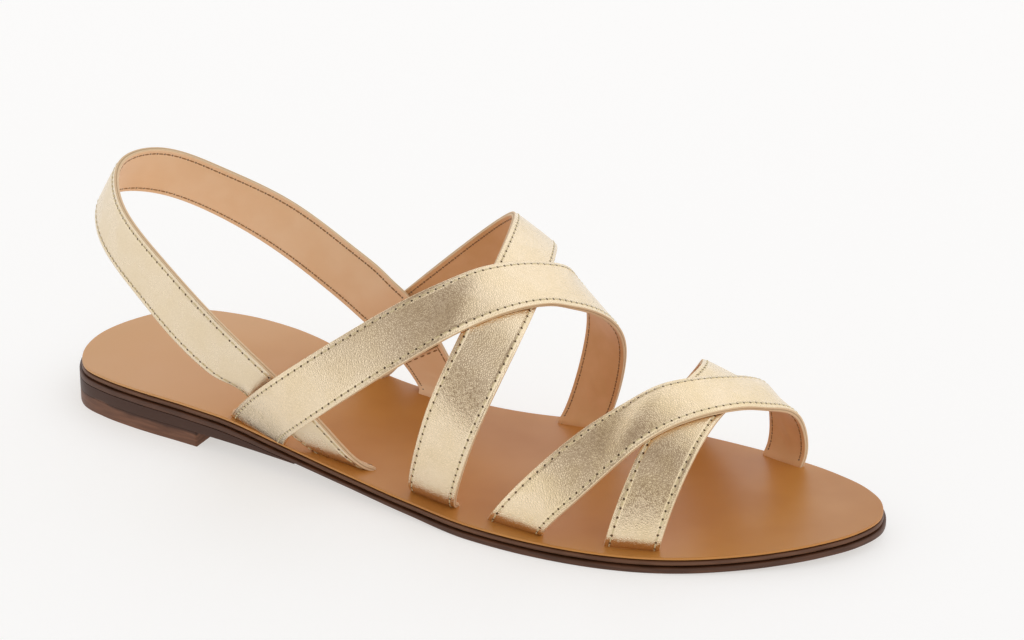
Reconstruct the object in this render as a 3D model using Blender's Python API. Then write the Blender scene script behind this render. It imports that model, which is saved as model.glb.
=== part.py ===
"""Flat cross strap sandal for the right foot, in metres, with +Z up and the toe towards +X.

The origin is the middle of the flat under the heel lift, on the floor.
The wearer's inner side, where the elastic is, lies towards +Y.
"""

import math

import bmesh
import bpy
import numpy as np

# Sole
LENGTH = 0.250
BALL_WIDTH = 0.0815
WAIST_WIDTH = 0.0572
HEEL_WIDTH = 0.0626
HEEL_HEIGHT = 0.0123
TOE_SPRING = 0.0023
FOOTBED = 0.0007
MIDSOLE = 0.0013
OUTSOLE = 0.0017
WAIST_THINNING = 0.0007
OUTSOLE_RIM = 0.0007
EDGE_ROUND = 0.0004
LIFT_HEIGHT = 0.0045
LIFT_LENGTH = 0.054
LIFT_TAPER = 0.0006
WEDGE_FEATHER = 0.0006
FOOTBED_SETBACK = 0.0002

# Straps
STRAP = 0.0018
INSTEP_STRAP_WIDTH = 0.0156
TOE_STRAP_WIDTH = 0.0143
SLING_WIDTH = 0.0158
ELASTIC_WIDTH = 0.0142
ELASTIC = 0.0013
INSTEP_RISE = 0.060
TOE_RISE = 0.034
SLING_RISE = 0.055
EDGE_THINNING = 0.25
SLOT_INSET = 0.0060

# Clearances
GAP = 0.0003
SLOT_CLEARANCE = 0.0004
BITE = 0.0005
LAY_MARGIN = 0.0012
LAY_FADE = 0.004

LAYERS = FOOTBED + GAP + MIDSOLE + GAP + OUTSOLE
HEEL_RISE = HEEL_HEIGHT - LAYERS

# Outline of the footbed: each row gives a share of the length, the width that it
# belongs to, its share of that width, and how far the middle lies to the inner side,
# as a share of the ball width.
OUTLINE = (
    (0.012, HEEL_WIDTH, 0.44, 0.000),
    (0.040, HEEL_WIDTH, 0.77, 0.012),
    (0.080, HEEL_WIDTH, 0.92, 0.020),
    (0.120, HEEL_WIDTH, 0.98, 0.017),
    (0.200, HEEL_WIDTH, 1.00, -0.005),
    (0.280, HEEL_WIDTH, 0.95, -0.056),
    (0.360, WAIST_WIDTH, 1.00, -0.110),
    (0.440, WAIST_WIDTH, 1.06, -0.134),
    (0.520, BALL_WIDTH, 0.82, -0.147),
    (0.600, BALL_WIDTH, 0.93, -0.139),
    (0.680, BALL_WIDTH, 1.00, -0.117),
    (0.760, BALL_WIDTH, 0.975, -0.102),
    (0.840, BALL_WIDTH, 0.865, -0.075),
    (0.920, BALL_WIDTH, 0.635, -0.034),
    (0.960, BALL_WIDTH, 0.455, -0.017),
    (0.988, BALL_WIDTH, 0.250, -0.004),
)

# Where the sole comes down to the floor in front of the waist, as a share of the length
FOREFOOT_START = 0.60

# Side view of the sole: share of the length, of the heel rise, of the toe spring and
# of the thinning of the outsole under the waist.
PROFILE = (
    (0.00, 1.00, 0.00, 0.00),
    (0.12, 1.00, 0.00, 0.00),
    (0.24, 0.93, 0.00, 0.00),
    (0.33, 0.62, 0.00, 0.60),
    (0.42, 0.31, 0.00, 1.00),
    (0.51, 0.10, 0.00, 0.70),
    (FOREFOOT_START, 0.00, 0.00, 0.00),
    (0.78, 0.00, 0.00, 0.00),
    (0.90, 0.00, 0.35, 0.00),
    (1.00, 0.00, 1.00, 0.00),
)

# Slots in the footbed: shares of the length at the rear and front corner, and how many
# insets each corner lies inside the edge.
SLOTS = {
    "instep_over_outer": (0.256, 0.336, 0.85, 0.75),
    "instep_under_outer": (0.508, 0.570, 1.10, 1.20),
    "toe_over_outer": (0.612, 0.680, 1.05, 0.95),
    "toe_under_outer": (0.750, 0.808, 0.90, 0.85),
    "sling_outer": (0.388, 0.452, 1.15, 1.25),
    "instep_under_inner": (0.272, 0.352, 0.95, 0.60),
    "sling_inner": (0.404, 0.466, 0.62, 0.70),
    "instep_over_inner": (0.575, 0.630, 0.68, 0.95),
    "toe_under_inner": (0.668, 0.722, 0.62, 0.62),
    "toe_over_inner": (0.820, 0.872, 0.38, 0.55),
}

# Paths of the straps from the outer slot to the inner one, without the slots: share of
# the length, side as a share of the ball width, height over the footbed as a share of
# the strap's rise, and lean of the strap's width in degrees.
INSTEP_OVER = (
    (0.371, -0.594, 0.327, -31),
    (0.466, -0.571, 0.680, -19),
    (0.543, -0.411, 0.906, -23),
    (0.593, -0.131, 0.923, -32),
    (0.623, 0.136, 0.765, -36),
    (0.622, 0.333, 0.450, -27),
)
INSTEP_UNDER = (
    (0.572, -0.565, 0.450, -11),
    (0.591, -0.440, 0.758, -23),
    (0.582, -0.143, 0.928, -32),
    (0.552, 0.186, 0.973, -31),
    (0.516, 0.368, 0.885, -20),
    (0.434, 0.386, 0.570, -16),
)
TOE_OVER = (
    (0.699, -0.531, 0.480, -2),
    (0.747, -0.381, 0.825, -3),
    (0.793, -0.170, 0.952, -16),
    (0.827, 0.067, 0.825, -27),
    (0.844, 0.294, 0.484, -27),
)
TOE_UNDER = (
    (0.799, -0.435, 0.618, -10),
    (0.801, -0.157, 0.896, -19),
    (0.796, 0.100, 0.872, -18),
    (0.772, 0.295, 0.710, -8),
    (0.742, 0.385, 0.400, -6),
)
SLING = (
    (0.326, -0.490, 0.305, 12),
    (0.252, -0.540, 0.556, 1),
    (0.180, -0.487, 0.757, 1),
    (0.116, -0.374, 0.870, -3),
    (0.069, -0.221, 0.953, -19),
    (0.052, -0.070, 1.000, -30),
    (0.072, 0.075, 0.976, -20),
    (0.125, 0.199, 0.854, -1),
    (0.201, 0.278, 0.678, 10),
    (0.285, 0.288, 0.490, 12),
    (0.370, 0.255, 0.305, 7),
)

# Where the elastic starts and ends, as shares of the whole sling path
ELASTIC_START = 0.893
ELASTIC_END = 0.937

# Fineness of the solids
SOLE_STATIONS = 44
OUTLINE_STEPS = 12
STRAP_STEP = 0.29
FINE = 6
CREST = (-1.0, -0.90, -0.45, 0.0, 0.45, 0.90, 1.0)
SAME_POINT = 1e-6

# The line inside the foot that the straps turn their faces away from: its side as a
# share of the ball width, and for the sling its place along the length as well.
FOOT_AXIS = -0.10
SLING_AXIS = (0.12, -0.037)


def linear(hex_code):
    """Return linear RGBA from an sRGB hex code."""
    channels = [int(hex_code[place:place + 2], 16) / 255 for place in (1, 3, 5)]
    return [c / 12.92 if c <= 0.04045 else ((c + 0.055) / 1.055) ** 2.4 for c in channels] + [1.0]


def make_material(name, hex_code, roughness, metallic=0.0):
    """Make one plain Principled material."""
    material = bpy.data.materials.new(name)
    material.use_nodes = True
    shader = material.node_tree.nodes["Principled BSDF"]
    shader.inputs["Base Color"].default_value = linear(hex_code)
    shader.inputs["Roughness"].default_value = roughness
    shader.inputs["Metallic"].default_value = metallic
    return material


def along_to_x(along):
    """Turn a share of the length into a place in metres."""
    return along * LENGTH - LIFT_LENGTH / 2


def glide(knots, values, at):
    """Read a smooth curve through knots that never overshoots and stays flat where they are."""
    steps = np.diff(knots)
    slopes = np.diff(values) / steps
    bends = np.zeros(len(knots))
    product = slopes[:-1] * slopes[1:]
    rising = product > 0
    bends[1:-1][rising] = 2 * product[rising] / (slopes[:-1] + slopes[1:])[rising]
    at = np.clip(at, knots[0], knots[-1])
    left = np.clip(np.searchsorted(knots, at) - 1, 0, len(steps) - 1)
    share = (at - knots[left]) / steps[left]
    lower = values[left] * (1 + 2 * share) + bends[left] * steps[left] * share
    upper = values[left + 1] * (3 - 2 * share) - bends[left + 1] * steps[left] * (1 - share)
    return lower * (1 - share) ** 2 + upper * share ** 2


def under_waist(along):
    """Height of the plane that the sole's full layers stand on."""
    table = np.array(PROFILE)
    return glide(table[:, 0], table[:, 1] * HEEL_RISE + table[:, 2] * TOE_SPRING, along)


def under_sole(x):
    """Height of the outsole's lower face at x."""
    along = (x + LIFT_LENGTH / 2) / LENGTH
    table = np.array(PROFILE)
    return under_waist(along) + glide(table[:, 0], table[:, 3], along) * WAIST_THINNING


def level(height):
    """Return the height function of a face that lies a fixed height over the layers' foot."""
    return lambda x: under_waist((x + LIFT_LENGTH / 2) / LENGTH) + height


footbed_top = level(LAYERS)


def smooth_loop(points, steps):
    """Run a smooth closed curve through points, with steps between each pair."""
    points = np.array(points)
    after = np.roll(points, -1, axis=0) - points
    reach = np.linalg.norm(after, axis=1)[:, None]
    before, back = np.roll(after, 1, axis=0), np.roll(reach, 1, axis=0)
    pull = (before / back * reach + after / reach * back) / (back + reach)
    share = (np.arange(steps) / steps)[None, :, None]
    start, end = points[:, None], np.roll(points, -1, axis=0)[:, None]
    leave, arrive = (pull * reach)[:, None], (np.roll(pull, -1, axis=0) * reach)[:, None]
    curve = (start * (1 + 2 * share) * (1 - share) ** 2 + leave * share * (1 - share) ** 2
             + end * (3 - 2 * share) * share ** 2 - arrive * (1 - share) * share ** 2)
    return curve.reshape(-1, 2)


def outline(offset=0.0):
    """Return the sole's outer and inner edges as two runs of points from heel to toe."""
    outer, inner = [], []
    for along, width, share, middle in OUTLINE:
        half, side = width * share / 2, middle * BALL_WIDTH
        outer.append((along_to_x(along), side - half))
        inner.append((along_to_x(along), side + half))
    heel, toe = (along_to_x(0), -0.012 * BALL_WIDTH), (along_to_x(1), 0.0)
    loop = smooth_loop([heel, *outer, toe, *inner[::-1]], OUTLINE_STEPS)
    run = np.roll(loop, -1, axis=0) - np.roll(loop, 1, axis=0)
    run /= np.linalg.norm(run, axis=1)[:, None]
    loop = loop + offset * np.stack([run[:, 1], -run[:, 0]], axis=1)
    toe_place = (len(OUTLINE) + 1) * OUTLINE_STEPS
    return loop[:toe_place + 1], np.vstack([loop[toe_place:], loop[:1]])[::-1]


def stations(offset, end=None):
    """Pair places on the outer and inner edge that share one x, closer at the round ends."""
    outer, inner = outline(offset)
    first, last = outer[0, 0], outer[-1, 0] if end is None else end
    turn = np.linspace(0, 1, SOLE_STATIONS + 1)
    sweep = math.pi if end is None else math.pi / 2
    dense = (1 - np.cos(sweep * turn)) / (1 - math.cos(sweep))
    x = first + (last - first) * (turn + dense) / 2
    return x, np.interp(x, outer[:, 0], outer[:, 1]), np.interp(x, inner[:, 0], inner[:, 1])


def add_object(name, mesh_builder, material):
    """Close a bmesh into a named object with one material and faces that point out."""
    bmesh.ops.recalc_face_normals(mesh_builder, faces=mesh_builder.faces)
    mesh = bpy.data.meshes.new(name)
    mesh_builder.to_mesh(mesh)
    mesh_builder.free()
    mesh.shade_smooth()
    mesh.set_sharp_from_angle(angle=math.radians(35))
    part = bpy.data.objects.new(name, mesh)
    part.data.materials.append(material)
    bpy.context.collection.objects.link(part)
    return part


def make_slab(name, rings, material, end=None):
    """Stack outlines, given as an offset and a height function each, into one layer."""
    shell = bmesh.new()
    edges = []
    for offset, height in rings:
        x, outer, inner = stations(offset, end)
        z = height(x)
        edges.append([[shell.verts.new(place) for place in zip(x, side, z)] for side in (outer, inner)])
    for place in range(SOLE_STATIONS):
        for outer, inner in (edges[0], edges[-1]):
            shell.faces.new((outer[place], outer[place + 1], inner[place + 1], inner[place]))
        for low, high in zip(edges, edges[1:]):
            for below, above in zip(low, high):
                shell.faces.new((below[place], below[place + 1], above[place + 1], above[place]))
    for low, high in zip(edges, edges[1:]):
        for place in (0, SOLE_STATIONS):
            shell.faces.new((low[0][place], low[1][place], high[1][place], high[0][place]))
    bmesh.ops.remove_doubles(shell, verts=shell.verts, dist=SAME_POINT)
    return add_object(name, shell, material)


def slot_corners(name):
    """Return the rear and front corner of a slot on the footbed's upper face."""
    rear, front, rear_inset, front_inset = SLOTS[name]
    corners = []
    for along, inset in ((rear, rear_inset), (front, front_inset)):
        edge = outline(-inset * SLOT_INSET)[0 if name.endswith("outer") else 1]
        x = along_to_x(along)
        corners.append(np.array((x, np.interp(x, edge[:, 0], edge[:, 1]), footbed_top(x) + GAP)))
    return corners


def spline(knots, points, at):
    """Read a natural cubic spline through points that lie at the given knots."""
    count = len(points)
    steps = np.diff(knots)[:, None]
    slopes = np.diff(points, axis=0) / steps
    system = np.eye(count)
    pull = np.zeros_like(points)
    for row in range(1, count - 1):
        before, after = steps[row - 1, 0], steps[row, 0]
        system[row, row - 1:row + 2] = (before, 2 * (before + after), after)
        pull[row] = 6 * (slopes[row] - slopes[row - 1])
    bend = np.linalg.solve(system, pull)
    left = np.clip(np.searchsorted(knots, at, side="right") - 1, 0, count - 2)
    step = steps[left]
    share = (np.asarray(at) - knots[left])[:, None] / step
    return (points[left] * (1 - share) + points[left + 1] * share
            + ((1 - share) ** 3 - (1 - share)) * bend[left] * step ** 2 / 6
            + (share ** 3 - share) * bend[left + 1] * step ** 2 / 6)


def unit(vectors):
    """Scale vectors to length one."""
    return vectors / np.linalg.norm(vectors, axis=-1, keepdims=True)


def strap_edges(rows, slots, rise, width, outward_from):
    """Work out a strap's rear and front edge, with the length along its middle at each row."""
    corners = [slot_corners(name) for name in slots]
    middle = [sum(corners[0]) / 2]
    for along, side, height, _ in rows:
        x = along_to_x(along)
        middle.append(np.array((x, side * BALL_WIDTH, footbed_top(x) + height * rise)))
    middle = np.array([*middle, sum(corners[1]) / 2])
    knots = np.append(0, np.cumsum(np.linalg.norm(np.diff(middle, axis=0), axis=1)))
    nudge = knots[-1] * 1e-3
    ahead = spline(knots, middle, np.clip(knots + nudge, 0, knots[-1]))
    behind = spline(knots, middle, np.clip(knots - nudge, 0, knots[-1]))
    run = unit(ahead - behind)
    rear, front = [corners[0][0]], [corners[0][1]]
    for place, (_, _, _, lean) in enumerate(rows, start=1):
        outward = outward_from(middle[place])
        outward = unit(outward - np.dot(outward, run[place]) * run[place])
        across = -np.cross(outward, run[place])
        lean = math.radians(lean)
        half = (math.cos(lean) * across + math.sin(lean) * outward) * width / 2
        rear.append(middle[place] - half)
        front.append(middle[place] + half)
    return knots, np.array([*rear, corners[1][0]]), np.array([*front, corners[1][1]])


def strap_sheet(edges, start, end, pitch, share=1.0):
    """Fill the middle surface between two strap edges with rows of points, FINE to a pitch."""
    knots, rear, front = edges
    rows = max(round(knots[-1] * (end - start) / pitch), 3)
    at = knots[-1] * np.linspace(start, end, rows * FINE + 1)
    rear, front = spline(knots, rear, at), spline(knots, front, at)
    across = np.array(CREST)[None, :, None] * share
    return (rear + front)[:, None] / 2 + (front - rear)[:, None] / 2 * across


def sheet_normals(sheet, outward_from):
    """Return the outward normals of a strap's middle surface."""
    run, across = np.gradient(sheet, axis=0), np.gradient(sheet, axis=1)
    normals = unit(np.cross(across, run))
    outward = np.array([[outward_from(point) for point in row] for row in sheet])
    return normals * np.sign((normals * outward).sum(axis=(1, 2)))[:, None, None]


def lay_over(sheet, carrier, carrier_normals, lift, width, keep_inside=False):
    """Move a strap to a given height over the strap that it crosses, fading out beside it."""
    middle = carrier[:, len(CREST) // 2]
    normal = carrier_normals[:, len(CREST) // 2]
    across = unit(carrier[:, -1] - carrier[:, 0])
    run = unit(np.gradient(middle, axis=0))
    flat, fade = width / 2 + LAY_MARGIN, width / 2 + LAY_FADE
    laid = sheet.copy()
    for place in np.ndindex(sheet.shape[:2]):
        away = sheet[place] - middle
        along = np.abs((away * run).sum(axis=1))
        side = np.abs((away * across).sum(axis=1))
        height = (away * normal).sum(axis=1)
        beside = (side < fade) & (np.abs(height) < width)
        best = int(np.argmin(np.where(beside, along, np.inf)))
        if not beside[best] or along[best] > LAY_MARGIN:
            continue
        share = np.clip((fade - side[best]) / (fade - flat), 0, 1)
        miss = lift - height[best]
        if keep_inside:
            miss = min(miss, 0)
        laid[place] = sheet[place] + normal[best] * miss * share ** 2 * (3 - 2 * share)
    return laid


def make_strap(name, sheet, normals, thickness, tails, material):
    """Give a strap's middle surface its wall, and run its tails down into their slots."""
    crest = np.array([1 - EDGE_THINNING if abs(place) == 1 else 1.0 for place in CREST])
    offset = normals * (crest * thickness / 2)[None, :, None]
    outer, inner = sheet + offset, sheet - offset
    rings = [np.vstack([top, low[::-1]]) for top, low in zip(outer, inner)]
    depth = FOOTBED + GAP + MIDSOLE + GAP
    for end, slot in tails.items():
        corner = slot_corners(slot)
        line = unit(corner[1] - corner[0])
        facing = unit(np.array((-line[1], line[0], 0.0)))
        facing *= np.sign(np.dot(facing, normals[end, len(CREST) // 2]))
        place = (corner[0] + corner[1]) / 2 + np.array(CREST)[:, None] * (corner[1] - corner[0]) / 2
        wall = facing * (crest * thickness / 2)[:, None]
        mouth = np.vstack([place + wall, (place - wall)[::-1]])
        foot = mouth.copy()
        foot[:, 2] -= depth
        rings[end] = mouth
        rings.insert(0 if end == 0 else len(rings), foot)
    shell = bmesh.new()
    loops = [[shell.verts.new(point) for point in ring] for ring in rings]
    for near, far in zip(loops, loops[1:]):
        for place in range(len(near)):
            after = (place + 1) % len(near)
            shell.faces.new((near[place], near[after], far[after], far[place]))
    count = len(CREST)
    for loop in (loops[0], loops[-1]):
        for place in range(count - 1):
            mirror = 2 * count - 1 - place
            shell.faces.new((loop[place], loop[place + 1], loop[mirror - 1], loop[mirror]))
    return add_object(name, shell, material)


def make_slot_cutter(material):
    """Make the prisms that cut a slot for each strap tail."""
    shell = bmesh.new()
    for name in SLOTS:
        rear, front = slot_corners(name)
        line = unit((front - rear) * (1, 1, 0))
        side = np.array((-line[1], line[0], 0.0)) * (STRAP / 2 + SLOT_CLEARANCE)
        rear, front = rear - line * SLOT_CLEARANCE, front + line * SLOT_CLEARANCE
        low, high = [], []
        for corner, facing in ((rear, -side), (front, -side), (front, side), (rear, side)):
            low.append(shell.verts.new((*(corner + facing)[:2], corner[2] - LAYERS)))
            high.append(shell.verts.new((*(corner + facing)[:2], corner[2] + LAYERS)))
        shell.faces.new(low)
        shell.faces.new(high)
        for place in range(4):
            after = (place + 1) % 4
            shell.faces.new((low[place], low[after], high[after], high[place]))
    cutter = add_object("slot_cutter", shell, material)
    cutter.hide_render = True
    cutter.display_type = "WIRE"
    return cutter


def add_boolean(part, other, operation):
    """Cut or join a part with another object, which stays as a hidden guide."""
    change = part.modifiers.new(operation.lower(), "BOOLEAN")
    change.object = other
    change.operation = operation
    change.solver = "EXACT"
    other.hide_render = True
    other.display_type = "WIRE"


def wedge_end():
    """Find where the wedge under the heel has thinned to its feather edge."""
    near, far = LIFT_LENGTH / 2, along_to_x(FOREFOOT_START)
    while far - near > SAME_POINT:
        x = (near + far) / 2
        thick = under_sole(x) - 2 * GAP - LIFT_HEIGHT
        near, far = (x, far) if thick > WEDGE_FEATHER else (near, x)
    return near


def make_sole():
    """Build the sole's layers, from the floor to the footbed."""
    lift_leather = make_material("lift_leather", "#6B453A", 0.45)
    wedge_leather = make_material("wedge_leather", "#4B3A34", 0.40)
    outsole_leather = make_material("outsole_leather", "#4B3A34", 0.38)
    midsole_leather = make_material("midsole_leather", "#5A3E38", 0.40)
    footbed_leather = make_material("footbed_leather", "#C8986B", 0.42)

    def flat(height):
        return lambda x: np.full_like(x, height)

    make_slab("heel_lift", (
        (OUTSOLE_RIM - LIFT_TAPER - EDGE_ROUND, flat(0.0)),
        (OUTSOLE_RIM - LIFT_TAPER, flat(EDGE_ROUND)),
        (OUTSOLE_RIM, flat(LIFT_HEIGHT)),
    ), lift_leather, end=LIFT_LENGTH / 2)
    make_slab("heel_wedge", (
        (OUTSOLE_RIM, flat(LIFT_HEIGHT + GAP)),
        (OUTSOLE_RIM, lambda x: under_sole(x) - GAP),
    ), wedge_leather, end=wedge_end())
    make_slab("outsole", (
        (OUTSOLE_RIM - EDGE_ROUND, under_sole),
        (OUTSOLE_RIM, lambda x: under_sole(x) + EDGE_ROUND),
        (OUTSOLE_RIM, level(OUTSOLE - EDGE_ROUND / 2)),
        (OUTSOLE_RIM - EDGE_ROUND / 2, level(OUTSOLE)),
    ), outsole_leather)
    seat = OUTSOLE + GAP
    midsole = make_slab("midsole", (
        (-EDGE_ROUND / 2, level(seat)),
        (0.0, level(seat + EDGE_ROUND / 2)),
        (0.0, level(seat + MIDSOLE)),
    ), midsole_leather)
    seat += MIDSOLE + GAP
    footbed = make_slab("footbed", (
        (-FOOTBED_SETBACK, level(seat)),
        (-FOOTBED_SETBACK, level(seat + FOOTBED - EDGE_ROUND / 2)),
        (-FOOTBED_SETBACK - EDGE_ROUND / 2, level(seat + FOOTBED)),
    ), footbed_leather)
    cutter = make_slot_cutter(footbed_leather)
    for layer in (midsole, footbed):
        add_boolean(layer, cutter, "DIFFERENCE")


def from_foot_axis(point):
    """Point away from the foot's long axis, just over the floor."""
    return unit(np.array((0.0, point[1] - FOOT_AXIS * BALL_WIDTH, point[2])))


def from_heel_axis(point):
    """Point away from the middle of the heel, level with the floor."""
    ahead = min(point[0] - along_to_x(SLING_AXIS[0]), 0.0)
    return unit(np.array((ahead, point[1] - SLING_AXIS[1] * BALL_WIDTH, 0.0)))


def make_crossing(name, over_rows, under_rows, keys, rise, width, material):
    """Build two crossed straps, the upper one laid over the lower, and join them."""
    sheets = {}
    for role, rows in (("under", under_rows), ("over", over_rows)):
        slots = [f"{keys}_{role}_{side}" for side in ("outer", "inner")]
        edges = strap_edges(rows, slots, rise, width, from_foot_axis)
        sheets[role] = strap_sheet(edges, 0.0, 1.0, width * STRAP_STEP)
    under_normals = sheet_normals(sheets["under"], from_foot_axis)
    sheets["over"] = lay_over(sheets["over"], sheets["under"], under_normals, STRAP - BITE, width)
    over_normals = sheet_normals(sheets["over"], from_foot_axis)
    straps = {}
    for role, normals in (("under", under_normals), ("over", over_normals)):
        tails = {0: f"{keys}_{role}_outer", -1: f"{keys}_{role}_inner"}
        straps[role] = make_strap(f"{name}_{role}", sheets[role][::FINE], normals[::FINE], STRAP, tails,
                                  material)
    straps["over"].name = name
    add_boolean(straps["over"], straps["under"], "UNION")
    return sheets["over"], over_normals, sheets["under"], under_normals


def make_uppers():
    """Build the crossed straps, and the sling with its elastic and tab inside them."""
    foil = make_material("gold_foil_leather", "#D9C28C", 0.35, 0.9)
    toe_foil = make_material("toe_foil_leather", "#D9C28C", 0.35, 0.9)
    sling_foil = make_material("sling_foil_leather", "#DCC898", 0.38, 0.9)
    tab_foil = make_material("tab_foil_leather", "#D2BB86", 0.38, 0.9)
    ribbed = make_material("ribbed_elastic", "#8A6A35", 0.6, 0.3)
    over, over_normals, under, under_normals = make_crossing(
        "instep_straps", INSTEP_OVER, INSTEP_UNDER, "instep", INSTEP_RISE, INSTEP_STRAP_WIDTH, foil)
    make_crossing("toe_straps", TOE_OVER, TOE_UNDER, "toe", TOE_RISE, TOE_STRAP_WIDTH, toe_foil)

    edges = strap_edges(SLING, ("sling_outer", "sling_inner"), SLING_RISE, SLING_WIDTH, from_heel_axis)
    joint = GAP / 2 / edges[0][-1]
    pieces = (
        ("sling_strap", 0.0, ELASTIC_START - joint, STRAP, 1.0, {0: "sling_outer"}, sling_foil),
        ("elastic", ELASTIC_START + joint, ELASTIC_END - joint, ELASTIC, ELASTIC_WIDTH / SLING_WIDTH, {},
         ribbed),
        ("sling_tab", ELASTIC_END + joint, 1.0, STRAP, 1.0, {-1: "sling_inner"}, tab_foil),
    )
    for name, start, end, wall, share, tails, material in pieces:
        sheet = strap_sheet(edges, start, end, SLING_WIDTH * STRAP_STEP, share)
        for carrier, normals in ((over, over_normals), (under, under_normals)):
            sheet = lay_over(sheet, carrier, normals, -(STRAP + GAP), INSTEP_STRAP_WIDTH, keep_inside=True)
        normals = sheet_normals(sheet, from_heel_axis)
        make_strap(name, sheet[::FINE], normals[::FINE], wall, tails, material)


def main():
    for old in list(bpy.data.objects):
        bpy.data.objects.remove(old)
    make_sole()
    make_uppers()


main()
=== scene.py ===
# %% [markdown]
# # A flat sandal with crossed straps
#
# This script dresses a ready CAD model of one leather sandal, for the right foot. The CAD
# solids say where each layer of the sole and each strap lies. Here each of them gets a finer
# mesh in the same place, with rolled edges, stitches and creases, and its real finish: gold
# foil leather, a soft tan lining, a burnished sole edge. Everything is in metres, the toe
# points along +X, the wearer's inner side along +Y, and the floor is z = 0.

import math

import bmesh
import bpy
import numpy as np
from mathutils import Matrix, Vector


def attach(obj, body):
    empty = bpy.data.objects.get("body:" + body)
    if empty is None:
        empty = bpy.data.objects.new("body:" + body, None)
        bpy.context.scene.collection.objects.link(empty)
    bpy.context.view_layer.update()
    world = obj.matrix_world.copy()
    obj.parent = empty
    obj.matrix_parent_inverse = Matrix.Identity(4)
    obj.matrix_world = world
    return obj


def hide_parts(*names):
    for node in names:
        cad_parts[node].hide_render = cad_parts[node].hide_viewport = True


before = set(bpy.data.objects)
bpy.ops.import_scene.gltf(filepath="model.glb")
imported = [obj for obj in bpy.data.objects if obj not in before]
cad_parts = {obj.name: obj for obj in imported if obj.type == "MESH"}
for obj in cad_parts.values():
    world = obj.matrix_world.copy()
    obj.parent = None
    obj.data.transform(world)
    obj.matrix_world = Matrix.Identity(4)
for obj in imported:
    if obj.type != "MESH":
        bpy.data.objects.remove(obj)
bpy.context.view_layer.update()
MM = 0.001
print("nodes:", ", ".join(sorted(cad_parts)))

# %% [markdown]
# ## The sizes that drive the shape
#
# A shoemaker keeps one paper pattern of the sole and marks the strap slots on it. The tables
# here are that pattern, the same one that the solids were built from. Widths are shares of
# three measured widths, so the sandal can be graded to another size by a few numbers.

# %% Sizes of the sole and the straps
LENGTH = 250 * MM
BALL_WIDTH = 81.5 * MM
WAIST_WIDTH = 57.2 * MM
HEEL_WIDTH = 62.6 * MM
HEEL_HEIGHT = 12.3 * MM
TOE_SPRING = 2.3 * MM
FOOTBED = 0.7 * MM
MIDSOLE = 1.3 * MM
OUTSOLE = 1.7 * MM
OUTSOLE_RIM = 0.7 * MM
WAIST_THINNING = 0.7 * MM
LIFT_HEIGHT = 4.5 * MM
LIFT_LENGTH = 54 * MM
WEDGE_FEATHER = 0.15 * MM
GAP = 0.3 * MM
SLOT_INSET = 6 * MM
INSTEP_STRAP_WIDTH = 15.6 * MM
TOE_STRAP_WIDTH = 14.3 * MM
SLING_WIDTH = 15.8 * MM
ELASTIC_WIDTH = 14.2 * MM
INSTEP_RISE = 60 * MM
TOE_RISE = 34 * MM
SLING_RISE = 55 * MM
LAYERS = FOOTBED + GAP + MIDSOLE + GAP + OUTSOLE
HEEL_RISE = HEEL_HEIGHT - LAYERS
FOREFOOT_START = 0.60

# Outline: share of the length, the width it belongs to, its share of that width, and how far
# the middle lies to the inner side as a share of the ball width.
OUTLINE = (
    (0.012, HEEL_WIDTH, 0.44, 0.000),
    (0.040, HEEL_WIDTH, 0.77, 0.012),
    (0.080, HEEL_WIDTH, 0.92, 0.020),
    (0.120, HEEL_WIDTH, 0.98, 0.017),
    (0.200, HEEL_WIDTH, 1.00, -0.005),
    (0.280, HEEL_WIDTH, 0.95, -0.056),
    (0.360, WAIST_WIDTH, 1.00, -0.110),
    (0.440, WAIST_WIDTH, 1.06, -0.134),
    (0.520, BALL_WIDTH, 0.82, -0.147),
    (0.600, BALL_WIDTH, 0.93, -0.139),
    (0.680, BALL_WIDTH, 1.00, -0.117),
    (0.760, BALL_WIDTH, 0.975, -0.102),
    (0.840, BALL_WIDTH, 0.865, -0.075),
    (0.920, BALL_WIDTH, 0.635, -0.034),
    (0.960, BALL_WIDTH, 0.455, -0.017),
    (0.988, BALL_WIDTH, 0.250, -0.004),
)
HEEL_MIDDLE = -0.012

# Side view: share of the length, of the heel rise, of the toe spring, of the waist's thinning
PROFILE = (
    (0.00, 1.00, 0.00, 0.00),
    (0.12, 1.00, 0.00, 0.00),
    (0.24, 0.93, 0.00, 0.00),
    (0.33, 0.62, 0.00, 0.60),
    (0.42, 0.31, 0.00, 1.00),
    (0.51, 0.10, 0.00, 0.70),
    (FOREFOOT_START, 0.00, 0.00, 0.00),
    (0.78, 0.00, 0.00, 0.00),
    (0.90, 0.00, 0.35, 0.00),
    (1.00, 0.00, 1.00, 0.00),
)

# Slots: share of the length at the rear and the front corner, and the insets from the edge
SLOTS = {
    "instep_over_outer": (0.256, 0.336, 0.85, 0.75),
    "instep_under_outer": (0.508, 0.570, 1.10, 1.20),
    "toe_over_outer": (0.612, 0.680, 1.05, 0.95),
    "toe_under_outer": (0.750, 0.808, 0.90, 0.85),
    "sling_outer": (0.388, 0.452, 1.15, 1.25),
    "instep_under_inner": (0.272, 0.352, 0.95, 0.60),
    "sling_inner": (0.404, 0.466, 0.62, 0.70),
    "instep_over_inner": (0.575, 0.630, 0.68, 0.95),
    "toe_under_inner": (0.668, 0.722, 0.62, 0.62),
    "toe_over_inner": (0.820, 0.872, 0.38, 0.55),
}

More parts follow.
